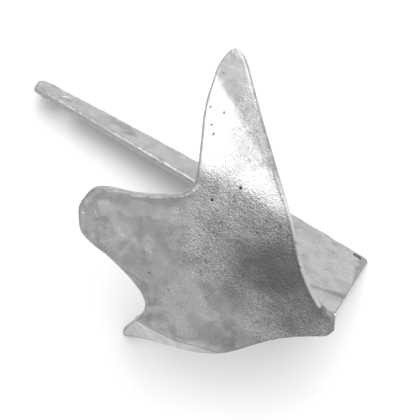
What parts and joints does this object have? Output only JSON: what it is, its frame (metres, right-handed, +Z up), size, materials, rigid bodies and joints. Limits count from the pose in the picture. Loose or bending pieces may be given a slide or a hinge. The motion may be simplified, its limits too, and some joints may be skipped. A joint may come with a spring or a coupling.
{
  "type": "claw anchor",
  "caption": "Rigid galvanised claw anchor: a flat plate shank welded to a curved cast claw with a centre fluke and side flukes, lying on its side.",
  "frame": {"origin": "centre of the bounding box, at floor level", "axes": "+Z up from the floor the anchor lies on, +X along the shank's back towards the shackle eye"},
  "size_m": [0.4468, 0.2744, 0.1981],
  "materials": {
    "cast_zinc": "hot-dip galvanised over a sand-cast skin, grey spangle, satin",
    "plate_zinc": "hot-dip galvanised rolled plate, pale grey, satin",
    "bead_zinc": "hot-dip galvanised weld metal, satin"
  },
  "bodies": {
    "root": {"claw": "cast_zinc", "shank": "plate_zinc", "weld_left": "bead_zinc", "weld_right": "bead_zinc", "weld_front": "bead_zinc"}
  },
  "joints": []
}
